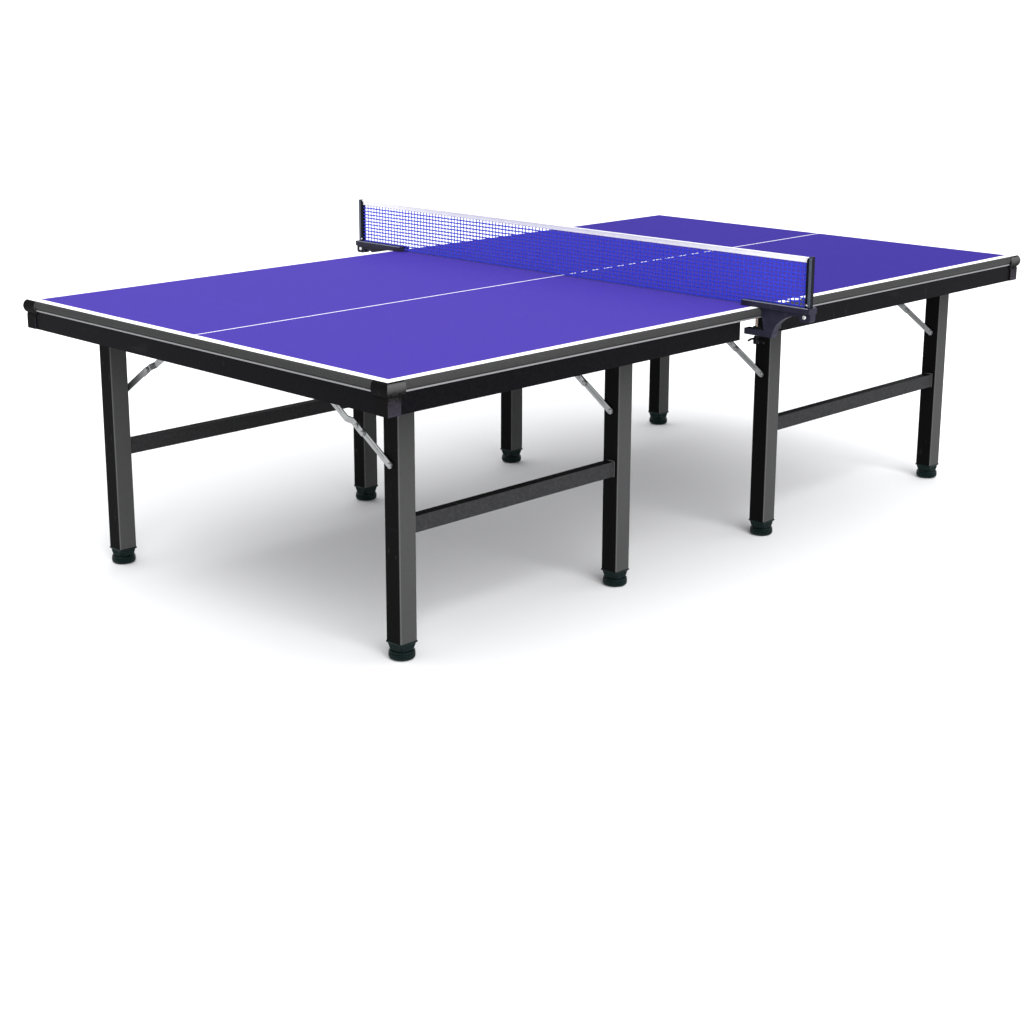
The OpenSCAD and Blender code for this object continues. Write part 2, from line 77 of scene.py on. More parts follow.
def addCamera():
    data = bpy.data.cameras.new("camera")
    camera = bpy.data.objects.new("camera", data)
    bpy.context.scene.collection.objects.link(camera)
    azimuth, elevation = (math.radians(cameraView[key]) for key in ("azimuth", "elevation"))
    back = Vector((math.sin(azimuth) * math.cos(elevation), -math.cos(azimuth) * math.cos(elevation),
                   math.sin(elevation)))
    camera.location = cameraView["place"]
    camera.rotation_euler = (-back).to_track_quat("-Z", "Y").to_euler()
    data.lens = cameraView["lens"]
    data.sensor_width = 36
    data.shift_x, data.shift_y = cameraView["shift"]
    data.clip_end = 3000
    bpy.context.scene.camera = camera


def addSun(name, source, strength, spread):
    data = bpy.data.lights.new(name, "SUN")
    data.energy = strength
    data.angle = math.radians(spread)
    lamp = bpy.data.objects.new(name, data)
    bpy.context.scene.collection.objects.link(lamp)
    lamp.rotation_euler = (-Vector(source)).to_track_quat("-Z", "Y").to_euler()


def addStudio():
    world = bpy.data.worlds.new("studio")
    world.use_nodes = True
    bpy.context.scene.world = world
    background = world.node_tree.nodes["Background"]
    background.inputs["Color"].default_value = (*studio["sky"], 1)
    background.inputs["Strength"].default_value = studio["skyLight"]
    addSun("keyLamp", studio["keyFrom"], studio["keyStrength"], studio["keySpread"])
    addSun("topLamp", studio["topFrom"], studio["topStrength"], studio["topSpread"])
    bpy.context.scene.view_settings.view_transform = "Standard"


addCamera()
addStudio()
print("camera and studio ready")

# Shader groups that several finishes share


def put(tree, kind, inputs=None, **settings):
    node = tree.nodes.new(kind)
    for key, value in settings.items():
        setattr(node, key, value)
    for key, value in (inputs or {}).items():
        if isinstance(value, bpy.types.NodeSocket):
            tree.links.new(value, node.inputs[key])
        else:
            node.inputs[key].default_value = value
    return node


def math1(tree, operation, *values):
    node = put(tree, "ShaderNodeMath", dict(enumerate(values)), operation=operation)
    return node.outputs[0]


def scaled(tree, value, gain, offset):
    return math1(tree, "MULTIPLY_ADD", value, gain, offset)


def objectPlace(tree):
    return put(tree, "ShaderNodeTexCoord").outputs["Object"]


def objectAxes(tree):
    return put(tree, "ShaderNodeSeparateXYZ", {"Vector": objectPlace(tree)}).outputs


def newGroup(name, inputs, outputs):
    group = bpy.data.node_groups.new(name, "ShaderNodeTree")
    for label, value in inputs:
        socket = group.interface.new_socket(name=label, in_out="INPUT", socket_type="NodeSocketFloat")
        socket.default_value = value
    for label in outputs:
        group.interface.new_socket(name=label, in_out="OUTPUT", socket_type="NodeSocketFloat")
    return group, group.nodes.new("NodeGroupInput").outputs, group.nodes.new("NodeGroupOutput")


def grainGroup():
    # Height = 0.65 fine noise + 0.35 noise eight times as coarse. Shade = the coarse noise about zero.
    group, given, result = newGroup("paintGrain", [("Scale", 900.0), ("Roughness", 0.6)],
                                    ["Height", "Shade"])
    place = objectPlace(group)
    fine = put(group, "ShaderNodeTexNoise", {"Vector": place, "Scale": given["Scale"], "Detail": 3,
                                             "Roughness": given["Roughness"]})
    coarse = put(group, "ShaderNodeTexNoise",
                 {"Vector": place, "Scale": math1(group, "MULTIPLY", given["Scale"], 0.125), "Detail": 2})
    height = scaled(group, fine.outputs[0], 0.65,
                   math1(group, "MULTIPLY", coarse.outputs[0], 0.35))
    group.links.new(height, result.inputs["Height"])
    group.links.new(math1(group, "SUBTRACT", coarse.outputs[0], 0.5), result.inputs["Shade"])
    return group


def scuffGroup():
    # Mask = thin streaks where noise stretched along one axis passes a threshold, times patches.
    group, given, result = newGroup("scuffs", [("Scale", 60.0), ("Amount", 0.5)], ["Mask"])
    place = objectPlace(group)
    total = None
    for turn, stretch in ((0.6, (1, 0.04, 0.3)), (2.1, (0.05, 1, 0.5))):
        mapped = put(group, "ShaderNodeMapping", {"Vector": place, "Rotation": (0.3, turn, turn),
                                                  "Scale": stretch})
        noise = put(group, "ShaderNodeTexNoise", {"Vector": mapped.outputs[0], "Scale": given["Scale"],
                                                  "Detail": 2})
        band = put(group, "ShaderNodeMapRange", {"Value": noise.outputs[0], "From Min": 0.66,
                                                 "From Max": 0.72})
        total = band.outputs[0] if total is None else math1(group, "MAXIMUM", total, band.outputs[0])
    patches = put(group, "ShaderNodeTexNoise", {"Vector": place, "Scale": 5, "Detail": 1})
    spots = put(group, "ShaderNodeMapRange", {"Value": patches.outputs[0], "From Min": 0.5,
                                              "From Max": 0.62})
    mask = math1(group, "MULTIPLY", math1(group, "MULTIPLY", total, spots.outputs[0]), given["Amount"])
    group.links.new(mask, result.inputs["Mask"])
    return group


def zoneGroup():
    # Mask = 1 where Value lies between From and To, falling to 0 over Edge on each side.
    group, given, result = newGroup("zone", [("Value", 0.0), ("From", 0.0), ("To", 1.0), ("Edge", 0.0003)],
                                    ["Mask"])
    rise = math1(group, "DIVIDE", math1(group, "SUBTRACT", given["Value"], given["From"]), given["Edge"])
    fall = math1(group, "DIVIDE", math1(group, "SUBTRACT", given["To"], given["Value"]), given["Edge"])
    lowest = group.nodes.new("ShaderNodeMath")
    lowest.operation, lowest.use_clamp = "MINIMUM", True
    group.links.new(math1(group, "ADD", rise, 0.5), lowest.inputs[0])
    group.links.new(math1(group, "ADD", fall, 0.5), lowest.inputs[1])
    group.links.new(lowest.outputs[0], result.inputs["Mask"])
    return group


def paintedLightByFacingGroup():
    # The first mask is 1 on faces that look across the table, |Ny| from 0.75 to 0.9; they get the lighter,
    # painted-lit colour. Corner = 4 Nx Nx Ny Ny, which is 1 halfway round an upright rounded edge, where a
    # highlight is painted.
    group, given, result = newGroup("paintedLightByFacing", [], ["Across", "Corner"])
    normal = put(group, "ShaderNodeTexCoord").outputs["Normal"]
    axes = put(group, "ShaderNodeSeparateXYZ", {"Vector": normal}).outputs
    across = put(group, "ShaderNodeMapRange", {"Value": math1(group, "ABSOLUTE", axes["Y"]),
                                               "From Min": 0.75, "From Max": 0.9})
    product = math1(group, "MULTIPLY", axes["X"], axes["Y"])
    corner = math1(group, "MULTIPLY", math1(group, "MULTIPLY", product, product), 4.0)
    group.links.new(across.outputs[0], result.inputs["Across"])
    group.links.new(corner, result.inputs["Corner"])
    return group


grain, scuffs, zone, paintedLightByFacing = grainGroup(), scuffGroup(), zoneGroup(), paintedLightByFacingGroup()


def useGroup(tree, group, **inputs):
    node = tree.nodes.new("ShaderNodeGroup")
    node.node_tree = group
    for key, value in inputs.items():
        if isinstance(value, bpy.types.NodeSocket):
            tree.links.new(value, node.inputs[key])
        else:
            node.inputs[key].default_value = value
    return node.outputs


def mixColor(tree, mask, first, second):
    node = put(tree, "ShaderNodeMix", data_type="RGBA")
    for index, value in ((0, mask), (6, first), (7, second)):
        if isinstance(value, bpy.types.NodeSocket):
            tree.links.new(value, node.inputs[index])
        else:
            node.inputs[index].default_value = (*value, 1) if isinstance(value, tuple) else value
    return node.outputs[2]


def newFinish(name, **fixed):
    material = bpy.data.materials.new(name)
    material.use_nodes = True
    shader = material.node_tree.nodes["Principled BSDF"]
    for key, value in fixed.items():
        shader.inputs[key.replace("_", " ")].default_value = value
    return material, material.node_tree, shader


def coatWith(tree, shader, color, rough):
    tree.links.new(color, shader.inputs["Base Color"])
    tree.links.new(rough, shader.inputs["Roughness"])


def addBump(tree, shader, height, depth):
    bump = put(tree, "ShaderNodeBump", {"Height": height, "Distance": depth, "Strength": 1.0})
    tree.links.new(bump.outputs[0], shader.inputs["Normal"])


# Grained finish: the colour goes lighter and darker by shade, streaks take the scuff colour, and the
# grain gives the bump and a little roughness.
def grained(name, color, roughness, scale, depth, specular, shade=0.12, scuff=0.3, scuffColor=None,
            **fixed):
    material, tree, shader = newFinish(name, Specular_IOR_Level=specular, **fixed)
    surface = useGroup(tree, grain, Scale=scale)
    streaks = useGroup(tree, scuffs, Amount=scuff)["Mask"]
    dark = tuple(channel * (1 - shade) for channel in color)
    light = tuple(min(1, channel * (1 + shade)) for channel in color)
    amount = scaled(tree, surface["Shade"], 2.5, 0.5)
    base = mixColor(tree, amount, dark, light)
    worn = scuffColor or tuple(min(1, channel * 1.5 + 0.02) for channel in color)
    rough = scaled(tree, surface["Height"], 0.16, roughness - 0.08)
    coatWith(tree, shader, mixColor(tree, streaks, base, worn), scaled(tree, streaks, 0.15, rough))
    addBump(tree, shader, surface["Height"], depth)
    return material


coat = {
    "specular": 0.02,
    "along": (0.0040, 0.0040, 0.0042),  # painted shade: faces that look along the table or up
    # painted light: faces that look across the table
    "across": (0.054, 0.054, 0.054),
    "corner": (0.10, 0.10, 0.10),  # painted highlight over an upright rounded edge
    "bar": (0.026, 0.026, 0.027),  # painted lit side, across the table, on the crossbars
    # aged tones, painted darker along the table and lighter across it, as shade and light
    "agedShadedAlong": (0.007, 0.007, 0.007),
    "agedAcross": (0.070, 0.070, 0.070),
    "scuff": (0.06, 0.06, 0.06),
}


def coatedWithPaintedLight(name, across, along=coat["along"], corner=None, low=None):
    # Powder coat with painted light: faces across the table are painted lighter as if lit, faces along it or up
    # are painted darker as in shade, and upright rounded edges get a painted highlight; then grain and streaks.
    # low gives (height, colour) pairs that take the place of the colour of the faces across the table.
    material, tree, shader = newFinish(name, Specular_IOR_Level=coat["specular"])
    way = useGroup(tree, paintedLightByFacing)
    surface = useGroup(tree, grain, Scale=1000.0)
    streaks = useGroup(tree, scuffs, Amount=0.3)["Mask"]
    if low:
        height = objectAxes(tree)["Z"]
        ramp = put(tree, "ShaderNodeValToRGB",
                   {"Fac": put(tree, "ShaderNodeMapRange", {"Value": height, "From Min": low[0][0],
                                                            "From Max": low[-1][0]}).outputs[0]})
        stops = ramp.color_ramp.elements
        for index, (level, color) in enumerate(low):
            share = (level - low[0][0]) / (low[-1][0] - low[0][0])
            stop = stops[index] if index < 2 else stops.new(share)
            stop.position, stop.color = share, (*color, 1)
        across = ramp.outputs[0]
    # painted shade and light by which way a face looks
    base = mixColor(tree, way["Across"], along, across)
    # painted highlight on upright rounded edges
    edgeHighlighted = mixColor(tree, way["Corner"], base, corner or across)
    shade = scaled(tree, surface["Shade"], 0.6, 0.08)
    # aged tone, painted darker on faces along the table and lighter on faces across it
    worn = mixColor(tree, way["Across"], coat["agedShadedAlong"], coat["agedAcross"])
    aged = mixColor(tree, shade, edgeHighlighted, worn)
    coatWith(tree, shader, mixColor(tree, streaks, aged, coat["scuff"]),
             scaled(tree, surface["Height"], 0.16, 0.44))
    addBump(tree, shader, surface["Height"], 0.0001)
    return material


topPaint = {
    # half_b is painted darker than half_a: painted shade on one half of the same blue
    "half_a": (0.047, 0.028, 0.275),
    "half_b": (0.024, 0.012, 0.205),
    "white": (0.86, 0.86, 0.84),
    "board": (0.020, 0.019, 0.020),  # the sealed edges and underside
    "edgeLine": 0.026,
    "centreLine": 0.005,
}


def playingPaint(half):
    # White where |y| or |x| is within the line's width of the edge, or |y| is under half the centre
    # line's width. The board's colour is below the painted face.
    material, tree, shader = newFinish(half + "Paint", Specular_IOR_Level=0.02)
    low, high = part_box(half + "_top")
    axes = objectAxes(tree)
    across, along = math1(tree, "ABSOLUTE", axes["Y"]), math1(tree, "ABSOLUTE", axes["X"])
    endX = max(-low.x, high.x)
    sideLine = useGroup(tree, zone, Value=across, From=high.y - topPaint["edgeLine"], To=high.y + 1)
    endLine = useGroup(tree, zone, Value=along, From=endX - topPaint["edgeLine"], To=endX + 1)
    centre = useGroup(tree, zone, Value=across, From=-1.0, To=topPaint["centreLine"] / 2)
    lines = math1(tree, "MAXIMUM", math1(tree, "MAXIMUM", sideLine["Mask"], endLine["Mask"]),
                  centre["Mask"])
    face = useGroup(tree, zone, Value=axes["Z"], From=high.z - 0.0006, To=high.z + 1)["Mask"]
    surface = useGroup(tree, grain, Scale=700.0)
    streaks = useGroup(tree, scuffs, Amount=0.10, Scale=22.0)["Mask"]
    # half_b's darker blue is painted shade
    color = topPaint[half]
    amount = scaled(tree, surface["Shade"], 2.0, 0.5)
    blue = mixColor(tree, amount, tuple(c * 0.97 for c in color), tuple(c * 1.03 for c in color))
    worn = mixColor(tree, streaks, blue, tuple(c * 1.15 + 0.01 for c in color))
    painted = mixColor(tree, lines, worn, topPaint["white"])
    coatWith(tree, shader, mixColor(tree, face, topPaint["board"], painted),
             scaled(tree, surface["Height"], 0.14, 0.52))
    # the lines' paint stands a few hundredths of a millimetre above the blue
    height = scaled(tree, lines, 0.8, surface["Height"])
    addBump(tree, shader, height, 0.00007)
    return material


apronPaint = {
    "bead": (0.040, 0.040, 0.040),
    "lip": (0.24, 0.24, 0.25),
    "aged": (0.014, 0.014, 0.015),
    "scuff": (0.035, 0.035, 0.038),
    "web": (0.0018, 0.0017, 0.0028),
    "beadHeight": 0.024,
    "lipHeight": 0.004,
}


def apronFinish():
    # Three zones by height below the playing surface: bead, bright lip and web. The lip's zone holds
    # only outside the panel's edge.
    material, tree, shader = newFinish("apronPaint", Specular_IOR_Level=0.03)
    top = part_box("half_a_top")[1].z
    side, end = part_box("half_a_top")[1].y, -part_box("half_a_top")[0].x
    axes = objectAxes(tree)
    outside = math1(tree, "MAXIMUM",
                    math1(tree, "GREATER_THAN", math1(tree, "ABSOLUTE", axes["Y"]), side + 0.0001),
                    math1(tree, "GREATER_THAN", math1(tree, "ABSOLUTE", axes["X"]), end + 0.0001))
    beadFoot = top - apronPaint["beadHeight"]
    lip = useGroup(tree, zone, Value=axes["Z"], From=beadFoot - apronPaint["lipHeight"] - 0.0002,
                   To=beadFoot + 0.0002)["Mask"]
    bead = useGroup(tree, zone, Value=axes["Z"], From=beadFoot, To=top + 1)["Mask"]
    lipMask = math1(tree, "MULTIPLY", lip, outside)
    surface = useGroup(tree, grain, Scale=1100.0)
    streaks = useGroup(tree, scuffs, Amount=0.22)["Mask"]
    base = mixColor(tree, math1(tree, "MULTIPLY", bead, outside), apronPaint["web"], apronPaint["bead"])
    shaded = mixColor(tree, scaled(tree, surface["Shade"], 0.5, 0.06), base,
                      apronPaint["aged"])
    worn = mixColor(tree, streaks, shaded, apronPaint["scuff"])
    rough = scaled(tree, surface["Height"], 0.2, 0.34)
    coatWith(tree, shader, mixColor(tree, lipMask, worn, apronPaint["lip"]),
             scaled(tree, lipMask, -0.08, rough))
    tree.links.new(math1(tree, "MULTIPLY", lipMask, 0.55), shader.inputs["Metallic"])
    addBump(tree, shader, surface["Height"], 0.00006)
    return material


def zincFinish(name, color, roughness):
    # Zinc plating: bright metal with cloudy crystals from a cell pattern, and rubbed streaks.
    material, tree, shader = newFinish(name, Metallic=1.0)
    place = objectPlace(tree)
    cells = put(tree, "ShaderNodeTexVoronoi", {"Vector": place, "Scale": 260.0})
    tone = put(tree, "ShaderNodeSeparateColor", {"Color": cells.outputs["Color"]}).outputs[0]
    surface = useGroup(tree, grain, Scale=1500.0)
    streaks = useGroup(tree, scuffs, Amount=0.6, Scale=90.0)["Mask"]
    plated = mixColor(tree, tone, tuple(c * 0.86 for c in color), color)
    rubbed = mixColor(tree, streaks, plated, tuple(c * 0.6 for c in color))
    rough = scaled(tree, tone, 0.12, roughness)
    coatWith(tree, shader, rubbed, scaled(tree, streaks, 0.2, rough))
    addBump(tree, shader, surface["Height"], 0.00004)
    return material


softPaint = {
    "cordDark": (0.008, 0.018, 0.42),
    "cordLight": (0.016, 0.036, 0.70),
    "cordFibre": (0.012, 0.016, 0.28),
    "tapeDark": (0.78, 0.78, 0.76),
    "tapeLight": (0.90, 0.90, 0.88),
    "tapeDust": (0.62, 0.61, 0.57),
    "weave": 7000.0,  # radians to the metre, near one thread a millimetre
}


def cordFinish():
    # Twisted cord: fine slanting stripes from a wave along the cord, with darker fibres.
    material, tree, shader = newFinish("netCord", Specular_IOR_Level=0.25, Sheen_Weight=0.25,
                                       Sheen_Roughness=0.5)
    place = objectPlace(tree)
    turned = put(tree, "ShaderNodeMapping", {"Vector": place, "Rotation": (0.785, 0, 0)})
    twist = put(tree, "ShaderNodeTexWave", {"Vector": turned.outputs[0], "Scale": 420.0, "Distortion": 1.5},
                bands_direction="Y")
    surface = useGroup(tree, grain, Scale=2400.0)
    base = mixColor(tree, twist.outputs["Fac"], softPaint["cordDark"], softPaint["cordLight"])
    fibres = scaled(tree, surface["Shade"], 0.8, 0.1)
    coatWith(tree, shader, mixColor(tree, fibres, base, softPaint["cordFibre"]),
             scaled(tree, surface["Height"], 0.2, 0.6))
    addBump(tree, shader, twist.outputs["Fac"], 0.00012)
    return material


def tapeFinish():
    # Plain weave: the product of two sine waves, across and up the tape, over warm white.
    material, tree, shader = newFinish("wovenTape", Specular_IOR_Level=0.3, Sheen_Weight=0.3,
                                       Sheen_Roughness=0.5)
    axes = objectAxes(tree)
    warp = math1(tree, "SINE", math1(tree, "MULTIPLY", axes["Y"], softPaint["weave"]))
    weft = math1(tree, "SINE", math1(tree, "MULTIPLY", axes["Z"], softPaint["weave"]))
    weave = scaled(tree, math1(tree, "MULTIPLY", warp, weft), 0.5, 0.5)
    surface = useGroup(tree, grain, Scale=500.0)
    base = mixColor(tree, weave, softPaint["tapeDark"], softPaint["tapeLight"])
    dust = scaled(tree, surface["Shade"], 0.6, 0.06)
    coatWith(tree, shader, mixColor(tree, dust, base, softPaint["tapeDust"]),
             scaled(tree, surface["Height"], 0.15, 0.7))
    addBump(tree, shader, weave, 0.00012)
    return material


# Height and colour of the corner caps' faces across the table: flat foot, painted shadow in the waist, painted
# highlight on the bulge
capLitAndShadedTones = [(0.680, (0.026, 0.022, 0.032)), (0.712, (0.014, 0.012, 0.017)), (0.722, (0.002, 0.002, 0.002)),
            (0.733, (0.004, 0.004, 0.004)), (0.744, (0.055, 0.055, 0.055)), (0.758, (0.095, 0.095, 0.095))]
tealSheen = (0.55, 1.0, 0.95, 1.0)
finishes = {
    "apron": apronFinish(),
    "corner_cap": coatedWithPaintedLight("cornerPlasticPaintedLight", None, corner=(0.016, 0.016, 0.016), low=capLitAndShadedTones),
    "leg_tube": coatedWithPaintedLight("legCoatPaintedLight", coat["across"], corner=coat["corner"]),
    "crossbar": coatedWithPaintedLight("crossbarCoatPaintedLight", coat["bar"], corner=coat["corner"]),
    "rail": grained("railPaint", (0.014, 0.014, 0.015), 0.5, 900, 0.00010, 0.15),
    "hinge_plate": grained("hingePaint", (0.014, 0.014, 0.015), 0.45, 900, 0.00010, 0.2, scuff=0.4,
                           scuffColor=(0.10, 0.10, 0.10)),
    "leg_cap": grained("legCapPlastic", (0.0025, 0.0045, 0.0045), 0.36, 700, 0.00010, 0.18, scuff=0.2,
                       Specular_Tint=tealSheen),
    "foot": grained("footRubber", (0.0025, 0.0045, 0.0045), 0.40, 520, 0.00016, 0.20, shade=0.25,
                    scuffColor=(0.03, 0.03, 0.03), Specular_Tint=tealSheen),
    "net_post": grained("postPaint", (0.0045, 0.0055, 0.0085), 0.42, 900, 0.00007, 0.05),
    # pale strip on the post: painted highlight along its edge
    "paintedHighlightStrip": grained("paintedHighlightStripPaint", (0.060, 0.072, 0.100), 0.34, 900, 0.00006, 0.3),
    "net_clamp": grained("clampPaint", (0.018, 0.017, 0.032), 0.42, 380, 0.00022, 0.08, shade=0.16,
                         scuffColor=(0.07, 0.07, 0.10)),
    # light grey bead along the arm's upper edge: painted highlight
    "clampEdgeHighlight": grained("clampEdgeHighlightPaint", (0.16, 0.17, 0.22), 0.4, 420, 0.00010, 0.3, scuff=0.2),
    "knob": grained("knobPlastic", (0.0045, 0.0045, 0.005), 0.4, 600, 0.00010, 0.08),
    "felt": grained("padFelt", (0.05, 0.05, 0.055), 0.9, 1400, 0.0005, 0.15, shade=0.3, scuff=0.0),
    "pin": zincFinish("pinZinc", (0.62, 0.62, 0.62), 0.28),
    "brace": zincFinish("braceZinc", (0.36, 0.37, 0.37), 0.36),
    "stem": zincFinish("stemZinc", (0.55, 0.55, 0.54), 0.30),
    "clamp_screw": zincFinish("screwSteel", (0.66, 0.54, 0.47), 0.26),
    "bolt": zincFinish("boltZinc", (0.80, 0.80, 0.80), 0.22),
    "netting": cordFinish(),
    "net_tape": tapeFinish(),
}
playing = {half: playingPaint(half) for half in ("half_a", "half_b")}
slotOf = {part["node"]: part["material_slot"] for part in frame["record"]["subparts"]}
for name, node in nodes.items():
    material = playing[name[:6]] if slotOf[name] == "playing_surface" else finishes[slotOf[name]]
    if name.endswith("_crossbar"):
        material = finishes["crossbar"]
    node.data.materials.clear()
    node.data.materials.append(material)
print("finishes:", len(finishes) + len(playing))

# Shells from grids of points


def around(count):
    return np.linspace(0, 2 * math.pi, count, endpoint=False)


def spread(x, y, z):
    # Points from three arrays that fit one another's rows and columns
    return np.stack(np.broadcast_arrays(x, y, z), axis=-1)


def shell(grid, closed=True):
    # One quad to each cell of the grid, wrapped round the columns, with a fan over both ends if closed.
    rows, columns = grid.shape[:2]
    index = np.arange(rows * columns).reshape(rows, columns)
    beside = np.roll(index, -1, axis=1)
    cells = [index[:-1], beside[:-1], beside[1:], index[1:]]
    faces = np.stack(cells, axis=-1).reshape(-1, 4).tolist()
    points = grid.reshape(-1, 3)
    for row in (0, rows - 1) if closed else ():
        middle = len(points)
        points = np.vstack([points, grid[row].mean(axis=0)])
        turn = (beside[row], index[row]) if row == 0 else (index[row], beside[row])
        faces += np.stack([np.full(columns, middle), *turn], axis=-1).tolist()
    return points, faces


def addPiece(name, shells, material, body, replaces=(), sharp=40):
    # Joins shells to one object at the origin that rides on a body. Edges over sharp degrees stay hard.
    points, faces, start = [], [], 0
    for shellPoints, shellFaces in shells:
        points.append(shellPoints)
        faces += [[corner + start for corner in face] for face in shellFaces]
        start += len(shellPoints)
    mesh = bpy.data.meshes.new(name)
    mesh.from_pydata(np.vstack(points).tolist(), [], faces)
    built = bmesh.new()
    built.from_mesh(mesh)
    bmesh.ops.recalc_face_normals(built, faces=built.faces)
    built.to_mesh(mesh)
    built.free()
    mesh.shade_smooth()
    mesh.set_sharp_from_angle(angle=math.radians(sharp))
    mesh.materials.append(material)
    piece = bpy.data.objects.new(name, mesh)
    bpy.context.scene.collection.objects.link(piece)
    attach(piece, body)
    if replaces:
        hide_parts(*replaces)
    return piece


def placed(points, place, axis=(0, 0, 1)):
    # Turns what is drawn about +Z so that +Z points along axis, and moves it to place.
    turn = np.array(Vector((0, 0, 1)).rotation_difference(Vector(axis)).to_matrix())
    return points @ turn.T + np.array(place, float)


def turnedGrid(profile, segments=32, ribs=None):
    # A profile of (radius, height) turned round +Z: x = r cos a, y = r sin a. ribs(a, z) is taken off r.
    profile = np.array(profile, float)
    angle = around(segments)[None, :]
    radius, height = profile[:, :1], profile[:, 1:]
    if ribs:
        radius = radius - ribs(angle, height)
    return spread(radius * np.cos(angle), radius * np.sin(angle), height)


def turned(profile, place, axis=(0, 0, 1), segments=32, ribs=None):
    grid = turnedGrid(profile, segments, ribs)
    return shell(placed(grid.reshape(-1, 3), place, axis).reshape(grid.shape))


def roundedSquare(half, corner, perCorner=6):
    # Quarter circles of radius corner about (±(half - corner), ±(half - corner)), in turn.
    turn = np.arange(4)[:, None] * math.pi / 2
    angle = turn + np.linspace(0, math.pi / 2, perCorner)
    diagonal = turn + math.pi / 4
    x = (half - corner) * np.sign(np.cos(diagonal)) + corner * np.cos(angle)
    y = (half - corner) * np.sign(np.sin(diagonal)) + corner * np.sin(angle)
    return np.stack([x.ravel(), y.ravel()], axis=-1)


def domedHead(radius, height, place, axis, base=0.0):
    # Pan head: a short upright rim, then a quarter ellipse to the middle.
    angle = np.linspace(0, math.pi / 2, 6)[:-1]
    arc = [(radius * math.cos(a), base + height * (0.35 + 0.65 * math.sin(a))) for a in angle]
    return turned([(radius, base), *arc, (radius * 0.05, base + height)], place, axis, 20)


def hexHead(radius, height, place, axis):
    # Six upright sides; the last row draws in by a chamfer.
    chamfer = 0.12 * radius
    grid = turnedGrid([(radius, 0), (radius, height - chamfer), (radius - chamfer, height)], 6)
    return shell(placed(grid.reshape(-1, 3), place, axis).reshape(grid.shape))


def threaded(radius, depth, pitch, low, high, place, segments=24, perTurn=6):
    # A screw round +Z from low to high above place:
    # r = radius - depth * (1 - |2 frac(z / pitch - a / 2 pi) - 1|), run out over the last pitch.
    angle = around(segments)[None, :]
    count = int(round((high - low) / pitch * perTurn)) + 1
    height = np.linspace(low, high, count)[:, None]
    saw = np.abs(2 * np.mod(height / pitch - angle / (2 * math.pi), 1) - 1)
    fade = np.clip((height - low) / pitch, 0, 1) * np.clip((high - height) / pitch, 0, 1)
    r = radius - depth * (1 - saw) * fade - depth * 0.5 * (1 - fade)
    grid = spread(r * np.cos(angle), r * np.sin(angle), height)
    return shell(grid + np.array(place, float))


# Levelling feet, leg caps and stems

footShape = {
    "ribs": 44,
    "ribDepth": 0.0020,
    "ribFrom": 0.0055,  # height of the ribbed band's lower and upper edges
    "ribTo": 0.0165,
    "lowerRound": 0.0085,
    "wallTop": 0.0150,
    "grooveDepth": 0.0022,
    "grooveFrom": 0.0174,
    "grooveTo": 0.0186,
    "lip": 0.0010,  # how far the lip stands in from the wall
    "socket": 0.0085,  # radius of the stem's seat
}

capShape = {
    "bossRibs": 8,  # to each side
    "bossRibDepth": 0.0018,
    "bossInset": 0.0022,  # the boss inside the tube's faces, at its lower end
    "bossRound": 0.0292,  # radius that cuts its corners, at its lower end
    "bossFlare": 0.0065,  # and how much wider that is at the upper end
    "flangeFrom": 0.0415,
    "flangeTo": 0.046,
    "flangeOut": 0.0013,  # past the tube's faces
    "bevel": 0.0008,
}

stemThread = {"depth": 0.0009, "pitch": 0.002}


def footShell(low, high):
    # The profile rises round a quarter circle to the ribbed wall, then a groove and a lip. Ribs are a
    # raised cosine of the angle, held within the band.
    middle, radius, tall = (low + high) / 2, (high.x - low.x) / 2, high.z - low.z
    lowerRound, groove, lip = (footShape[key] for key in ("lowerRound", "grooveDepth", "lip"))
    profile = [(radius - lowerRound + lowerRound * math.cos(a), lowerRound + lowerRound * math.sin(a))
               for a in np.radians(np.arange(-90, 1, 15))]
    profile += [(radius, 0.0115), (radius, footShape["wallTop"]), (radius - 0.0003, 0.0168),
                (radius - groove, footShape["grooveFrom"]), (radius - groove, footShape["grooveTo"]),
                (radius - lip, 0.0192), (radius - lip, tall - 0.0012), (radius - 0.0024, tall),
                (footShape["socket"], tall), (footShape["socket"], tall - 0.002)]

    def ribs(angle, height):
        band = np.clip((height - footShape["ribFrom"]) / 0.0015, 0, 1)
        band = band * np.clip((footShape["ribTo"] - height) / 0.001, 0, 1)
        wave = 0.5 + 0.5 * np.cos(footShape["ribs"] * angle)
        return footShape["ribDepth"] * wave ** 3 * band

    return turned(profile, (middle.x, middle.y, low.z), segments=footShape["ribs"] * 6, ribs=ribs)


